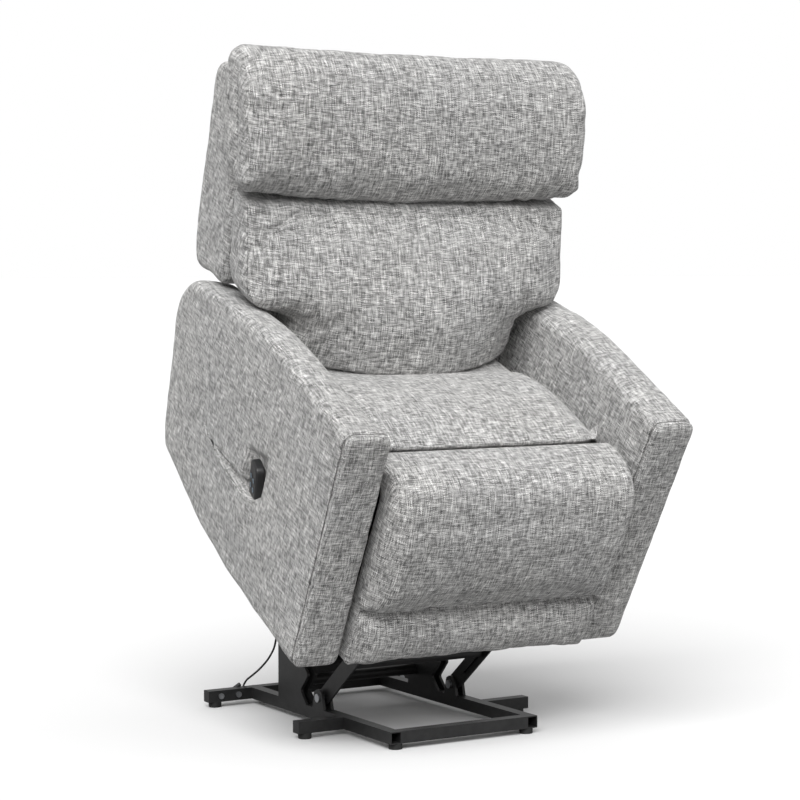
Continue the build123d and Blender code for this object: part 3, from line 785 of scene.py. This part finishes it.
def open_pocket(cover):
    """Cut a slit pocket into the outer face: its mouth gapes behind the handset, the lip stands proud."""
    line = pocket_line()
    at = to_chair(coords(cover))
    outer = at[:, 0] < -0.38
    mouth = np.interp(at[:, 1], line[::-1, 0], line[::-1, 1])
    along = smoothstep(0.255, 0.30, at[:, 1]) * smoothstep(0.53, 0.47, at[:, 1])
    gape = 0.002 + 0.018 * smoothstep(0.46, 0.335, at[:, 1]) * smoothstep(0.255, 0.28, at[:, 1])
    above = at[:, 2] - mouth
    inside = outer * along * smoothstep(-0.001, 0.001, above) * smoothstep(gape + 0.002, gape, above)
    lip = outer * along * smoothstep(-0.022, -0.004, above) * smoothstep(0.0015, -0.002, above)
    moved = at.copy()
    moved[:, 0] += 0.010 * inside - 0.005 * lip
    bulge = outer * along * smoothstep(-0.16, -0.05, above) * smoothstep(0.0, -0.03, above)
    bulge *= smoothstep(0.20, 0.28, at[:, 1]) * smoothstep(0.44, 0.34, at[:, 1])
    moved[:, 0] -= 0.006 * bulge
    beside = smoothstep(0.243, 0.258, at[:, 1]) * smoothstep(0.337, 0.322, at[:, 1])
    hollow = outer * beside * smoothstep(-0.006, 0.004, above) * smoothstep(0.105, 0.088, above)
    moved[:, 0] += HANDSET_HOLLOW * hollow
    set_coords(cover, to_model(moved))


def build_pocket(cover):
    """The pocket's rolled hem, and a black ribbon that opens behind it towards the handset: painted shadow
    standing for the shade in the pocket's slit.
    """
    line = pocket_line()
    hem = [(-ARM_OUTER - 0.012, u, v - 0.0015) for u, v in line]
    seam("handset_pocket_hem", hem, cover, "chassis", 0.0024, -0.0004, "tweed")
    # Painted shadow: a black ribbon laid along the pocket line, standing for the shade inside the slit.
    tree = BVHTree.FromObject(cover, bpy.context.evaluated_depsgraph_get())
    verts = []
    for share, (u, v) in zip(np.linspace(0, 1, len(line)), line):
        gape = 0.0025 + 0.0035 * smoothstep(0.1, 0.6, share) * smoothstep(1.0, 0.9, share)
        gape *= smoothstep(0.0, 0.08, share)
        for rise in (-0.002, 0.35 * gape, 0.7 * gape, gape):
            spot, normal, _, _ = tree.find_nearest(Vector(to_model([(-ARM_OUTER - 0.012, u, v + rise)])[0]))
            verts.append(spot + normal * 0.0006)
    faces = []
    for row in range(len(line) - 1):
        for column in range(3):
            first = 4 * row + column
            faces.append((first, first + 1, first + 5, first + 4))
    mouth = new_object("handset_pocket_painted_shadow", verts, faces)
    depth = mouth.modifiers.new("depth", "SOLIDIFY")
    depth.thickness = 0.0008
    finish_mesh(mouth, 1)
    dress(mouth, "lining")
    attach(mouth, "chassis")


for arm_side in (-1, 1):
    build_arm(arm_side)


# ---- seat ----------------------------------------------------------------------------------------
def build_seat():
    outline = rounded([(0.130, 0.330), (0.130, 0.404), (0.112, 0.424), (0.098, 0.440), (0.125, 0.4465),
                       (0.22, 0.4535), (0.32, 0.446), (0.39, 0.432), (0.43, 0.412), (0.52, 0.400),
                       (0.52, 0.330)],
                      [0.004, 0.02, 0.010, 0.005, 0.02, 0.06, 0.06, 0.04, 0.03, 0.02, 0.01], 0.006)
    top = smoothstep(0.35, 0.42, outline[:, 1])
    seat = across("seat_cushion_upholstery", outline, -SEAT_HALF, SEAT_HALF, 0.012 + 0.044 * top)
    remesh(seat, VOXEL, 4)
    at = to_chair(coords(seat))
    hold = np.maximum(smoothstep(0.41, 0.395, at[:, 2]), smoothstep(0.265, 0.28, np.abs(at[:, 0])))
    hold = np.maximum(hold, near(at, [(-0.28, 0.098, 0.436), (0.28, 0.098, 0.436)], 0.02))
    hold = np.maximum(hold, smoothstep(0.40, 0.43, at[:, 1]))
    inflate(seat, hold, 3.0, 0.010, grow=0.012)
    at = to_chair(coords(seat))
    upward = smoothstep(0.42, 0.44, at[:, 2])
    crumple = 0.0014 * ripple(at * (1, 2.2, 1), 0.11, 21) + 0.0007 * ripple(at, 0.045, 22)
    pleats = np.maximum(0, ripple(at * (1, 0.15, 0.15), 0.03, 23))
    gather = smoothstep(0.17, 0.105, at[:, 1]) * pleats * 0.0012
    push(seat, upward * (crumple - gather))
    finish_mesh(seat)
    soft(seat, "seat_cushion", "chassis")


build_seat()


# ---- footrest ------------------------------------------------------------------------------------
CREASE = 0.131


def build_footrest():
    outline = [(0.034, 0.006), (-0.008, 0.002), (-0.022, 0.010), (-0.029, 0.045), (-0.030, 0.085),
               (-0.027, 0.114), (0.004, CREASE), (-0.032, 0.140), (-0.042, 0.172), (-0.050, 0.240),
               (-0.050, 0.310), (-0.044, 0.365), (-0.027, 0.408), (0.006, 0.431), (0.050, 0.4385),
               (0.085, 0.4385), (0.103, 0.434), (0.102, 0.404), (0.052, 0.404), (0.037, 0.376)]
    corners = [0.006, 0.010, 0.012, 0.03, 0.02, 0.010, 0.002, 0.010, 0.03, 0.05, 0.05, 0.03, 0.025, 0.025,
               0.03, 0.02, 0.008, 0.004, 0.01, 0.006]
    outline = rounded(outline, corners, 0.005)
    high = smoothstep(0.13, 0.17, outline[:, 1]) * smoothstep(0.05, 0.0, outline[:, 0])
    low = smoothstep(0.13, 0.10, outline[:, 1]) * smoothstep(0.03, 0.0, outline[:, 0])
    edge = 0.010 + 0.006 * high + 0.004 * low
    pad = across("footrest_upholstery", outline, FOOTREST_LEFT, FOOTREST_RIGHT, edge)
    remesh(pad, VOXEL, 3)
    at = to_chair(coords(pad))
    hold = np.maximum(smoothstep(0.005, 0.02, at[:, 1]) * (at[:, 2] < 0.37), (at[:, 2] > 0.345) * 1.0)
    hold = np.maximum(hold, near(at, [(-0.27, -0.012, CREASE), (0.27, -0.012, CREASE)], 0.016))
    inflate(pad, hold, 3.0, 0.009, grow=0.015)
    at = to_chair(coords(pad))
    front = smoothstep(0.03, 0.0, at[:, 1])
    crumple = 0.0015 * ripple(at * (1, 1, 2.0), 0.13, 31) + 0.0007 * ripple(at, 0.045, 32)
    sharp = near(at, [(-0.268, -0.014, CREASE), (0.268, -0.014, CREASE)], 0.008)
    puckers = near(at, [(-0.27, -0.02, CREASE + 0.012), (0.27, -0.02, CREASE + 0.012)], 0.03)
    puckers *= ripple(at * (1, 0.1, 0.1), 0.035, 33) * 0.0016
    push(pad, front * (crumple + puckers) - 0.006 * sharp)
    at = to_chair(coords(pad))
    at[:, 1] += 0.020 * smoothstep(-0.235, -0.285, at[:, 0]) * smoothstep(0.0, -0.02, at[:, 1])
    set_coords(pad, to_model(at))
    finish_mesh(pad)
    soft(pad, "footrest_pad", "footrest")
    # The crease line is a dark tube: painted shade standing for the shadow in the fold.
    crease = [(x, -0.012, CREASE) for x in (FOOTREST_LEFT + 0.004, 0, FOOTREST_RIGHT - 0.004)]
    seam("footrest_crease", crease, pad, "footrest", 0.0013, 0.0)


build_footrest()


def build_gap_shade_sheets():
    """Black sheet hung behind each end of the footrest, which closes the view into the seat box; its black is
    painted shade standing for the shaded arm walls in the gap.
    """
    for side, label in ((-1, "left"), (1, "right")):
        rows = []
        for v in np.linspace(0.030, 0.322, 9):
            for x in np.linspace(0.193, 0.280, 5):
                rows.append((side * x, 0.1115 + 0.0012 * math.sin(70 * x + 9 * v), v))
        faces = []
        for r in range(8):
            for c in range(4):
                first = 5 * r + c
                faces.append((first, first + 1, first + 6, first + 5))
        shade_sheet = new_object(f"seat_gap_painted_shade_{label}", to_model(rows), faces)
        cloth = shade_sheet.modifiers.new("cloth", "SOLIDIFY")
        cloth.thickness = 0.0012
        finish_mesh(shade_sheet, 1)
        # The sheet's black colour is painted shade.
        dress(shade_sheet, "lining")
        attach(shade_sheet, "chassis")


build_gap_shade_sheets()


# ---- back ----------------------------------------------------------------------------------------
def side_seam(v):
    """u of the seam on the side of the back cushions at height v."""
    return 0.519 + (v - 0.556) * 0.483


def gusset_rear(v):
    """u where the side gusset meets the rear shell at height v."""
    return 0.616 + (v - 0.556) * 0.372


def wing_half(v):
    """Half width of the lumbar cushion at height v: narrow between the arms, curving out into the wings."""
    heights = (0.502, 0.509, 0.515, 0.520, 0.526, 0.534, 0.548, 0.570)
    return np.interp(v, heights, (BACK_LOW_HALF, 0.290, 0.312, 0.336, 0.356, 0.371, 0.383, WING_HALF))


def build_lumbar():
    front_u = np.array((0.430, 0.407, 0.405, 0.428, 0.478, 0.540, 0.580, 0.592, 0.606))
    front_v = np.array((0.405, 0.418, 0.440, 0.500, 0.578, 0.655, 0.695, 0.708, 0.716))
    rings = []
    spans = ((0.404, 0.498, 13), (0.502, 0.562, 16), (0.57, 0.716, 16))
    for v in np.concatenate([np.linspace(*span) for span in spans]):
        half = wing_half(v)
        wide = (half - BACK_LOW_HALF) / (WING_HALF - BACK_LOW_HALF)
        centre = np.interp(v, front_v, front_u)
        pulled_in = np.interp(v, (0.43, 0.51, 0.56), (0.105, 0.075, 0.04))
        edge = side_seam(v) * wide + (centre + pulled_in) * (1 - wide)
        rear = gusset_rear(v) * wide + 0.60 * (1 - wide)
        ends = 0.012 * (1 - smoothstep(0.404, 0.424, v))
        corners = [(-half + ends, rear), (-half + ends, edge)]
        for t in np.linspace(-0.9, 0.9, 13):
            x = t * half
            corners.append((x, edge + (centre - edge) * (1 - abs(t) ** 2.6)))
        corners += [(half - ends, edge), (half - ends, rear)]
        radii = [0.008, 0.008] + [0.03] * 13 + [0.008, 0.008]
        loop = rounded(corners, radii, 0.02)
        rings.append(resample_count(loop, 110, v))
    lumbar = loft("lumbar_upholstery", rings)
    remesh(lumbar, VOXEL, 4)
    at = to_chair(coords(lumbar))
    x = np.abs(at[:, 0])
    behind = at[:, 1] - np.interp(at[:, 2], front_v, front_u) - 0.10 * (x / WING_HALF) ** 2
    hold = smoothstep(0.03, 0.05, behind)
    for side in (-1, 1):
        hold = np.maximum(hold, near(at, side_path(side, 0.57, 0.72, WING_HALF), 0.018))
    hold = np.maximum(hold, smoothstep(0.425, 0.412, at[:, 2]))
    hold = np.maximum(hold, smoothstep(0.700, 0.712, at[:, 2]))
    inflate(lumbar, hold, 3.0, 0.013, grow=0.02)
    at = to_chair(coords(lumbar))
    front = smoothstep(0.06, 0.0, at[:, 1] - side_seam(at[:, 2]))
    crumple = 0.0018 * ripple(at * (1, 1, 1.6), 0.14, 41) + 0.0008 * ripple(at, 0.05, 42)
    top = smoothstep(0.645, 0.70, at[:, 2]) * ripple(at * (1, 0.1, 0.12), 0.04, 43) * 0.0022
    dimples = near(at, [(-0.25, 0.46, 0.52), (-0.16, 0.425, 0.47)], 0.08)
    dimples = dimples * ripple(at, 0.035, 44) * 0.0026
    push(lumbar, front * (crumple + top + dimples))
    groove_sides(lumbar, 0.56, 0.73, WING_HALF)
    finish_mesh(lumbar)
    soft(lumbar, "lumbar_cushion", "back")
    for side, label in ((-1, "left"), (1, "right")):
        seam(f"lumbar_seam_{label}", side_path(side, 0.556, 0.728, WING_HALF), lumbar, "back")
    return lumbar


def resample_count(loop, count, v):
    """A ring of exactly count points at height v, starting at the loop's rear middle."""
    start = np.argmin(np.abs(loop[:, 0]) - 10 * loop[:, 1])
    loop = np.roll(loop, -start, 0)
    closed = np.vstack((loop, loop[:1]))
    lengths = np.concatenate(((0,), np.cumsum(np.linalg.norm(np.diff(closed, axis=0), axis=1))))
    at = np.linspace(0, lengths[-1], count + 1)[:-1]
    return np.column_stack((np.interp(at, lengths, closed[:, 0]), np.interp(at, lengths, closed[:, 1]),
                            np.full(count, v)))


def side_path(side, v0, v1, half):
    path = []
    for v in np.linspace(v0, v1, 14):
        path.append((side * min(half, wing_half(v) + half - WING_HALF), side_seam(v), v))
    return path


def groove_sides(obj, v0, v1, half, depth=0.003, reach=0.009):
    at = to_chair(coords(obj))
    value = near(at, side_path(-1, v0, v1, half), reach) + near(at, side_path(1, v0, v1, half), reach)
    push(obj, -depth * value)


def build_headrest():
    corners = [(0.700, 0.735), (0.655, 0.712), (0.602, 0.711), (0.586, 0.742), (0.597, 0.790), (0.610, 0.835),
               (0.630, 0.885), (0.654, 0.935), (0.690, 0.977), (0.742, 0.996), (0.786, 0.984), (0.802, 0.955),
               (0.800, 0.925), (0.780, 0.885)]
    radii = [0.02, 0.03, 0.02, 0.025, 0.04, 0.04, 0.04, 0.04, 0.03, 0.03, 0.02, 0.02, 0.02, 0.04]
    outline = rounded(corners, radii, 0.008)
    rear = smoothstep(0.0, 0.04, outline[:, 0] - side_seam(outline[:, 1]) - 0.03)
    top = smoothstep(0.93, 0.97, outline[:, 1])
    bottom = smoothstep(0.75, 0.72, outline[:, 1])
    edge = 0.019 + 0.026 * rear + 0.014 * top + 0.010 * bottom

    def crown(x, flat):
        flat = flat.copy()
        flat[:, 1] += 0.030 * smoothstep(0.80, 0.72, flat[:, 1]) * (np.abs(x) / HEADREST_HALF) ** 2.5
        return flat

    head = across("headrest_upholstery", outline, -HEADREST_HALF + 0.006, HEADREST_HALF - 0.006, edge, crown)
    remesh(head, VOXEL, 4)
    at = to_chair(coords(head))
    hold = smoothstep(0.02, 0.05, at[:, 1] - side_seam(at[:, 2]) - 0.05) * (at[:, 2] < 0.93)
    hold = np.maximum(hold, smoothstep(0.735, 0.720, at[:, 2]) * (at[:, 1] > 0.625))
    for side in (-1, 1):
        hold = np.maximum(hold, near(at, side_path(side, 0.74, 0.947, HEADREST_HALF - 0.006), 0.018))
    inflate(head, hold, 3.0, 0.012, grow=0.02)
    at = to_chair(coords(head))
    crumple = 0.0018 * ripple(at * (1, 1, 1.5), 0.15, 51) + 0.0008 * ripple(at, 0.05, 52)
    under = smoothstep(0.79, 0.735, at[:, 2]) * ripple(at * (1, 0.1, 0.1), 0.045, 53) * 0.0025
    tucks = 0
    for v in (0.905, 0.875):
        tucks = tucks + near(at, [(-0.385, 0.64, v), (-0.33, 0.63, v + 0.004)], 0.011) * 0.005
    push(head, crumple + under - tucks)
    groove_sides(head, 0.735, 0.945, HEADREST_HALF - 0.004)
    finish_mesh(head)
    soft(head, "headrest_cushion", "back")
    for side, label in ((-1, "left"), (1, "right")):
        seam(f"headrest_seam_{label}", side_path(side, 0.735, 0.945, HEADREST_HALF), head, "back")
    return head


def build_shell():
    outline = rounded([(0.640, 0.500), (0.640, 0.600), (0.745, 0.905), (0.800, 0.934), (0.864, 0.915),
                       (0.872, 0.880),
                       (0.803, 0.552), (0.770, 0.482), (0.700, 0.505)],
                      [0.03, 0.05, 0.03, 0.03, 0.03, 0.03, 0.1, 0.035, 0.03], 0.012)
    shell = across("back_shell_upholstery", outline, -SHELL_HALF, SHELL_HALF, 0.022)
    low = rounded([(0.50, 0.406), (0.56, 0.60), (0.795, 0.60), (0.795, 0.552), (0.752, 0.475), (0.64, 0.406)],
                  [0.01, 0.02, 0.02, 0.04, 0.05, 0.02], 0.012)
    skirt = across("skirt", low, -BACK_LOW_HALF, BACK_LOW_HALF, 0.012)
    join(shell, skirt)
    remesh(shell, 0.006, 4)
    at = to_chair(coords(shell))
    rear = smoothstep(0.70, 0.80, at[:, 1]) * smoothstep(0.36, 0.24, np.abs(at[:, 0]))
    push(shell, 0.004 * rear + 0.0014 * ripple(at, 0.17, 61) + 0.0006 * ripple(at, 0.05, 62))
    finish_mesh(shell, 0)
    soft(shell, "back_shell", "back")
    return shell


def join(target, other):
    """Add the other object's mesh to the target and remove the other."""
    work = bmesh.new()
    work.from_mesh(target.data)
    work.from_mesh(other.data)
    work.to_mesh(target.data)
    work.free()
    bpy.data.objects.remove(other)


build_lumbar()
build_headrest()
build_shell()
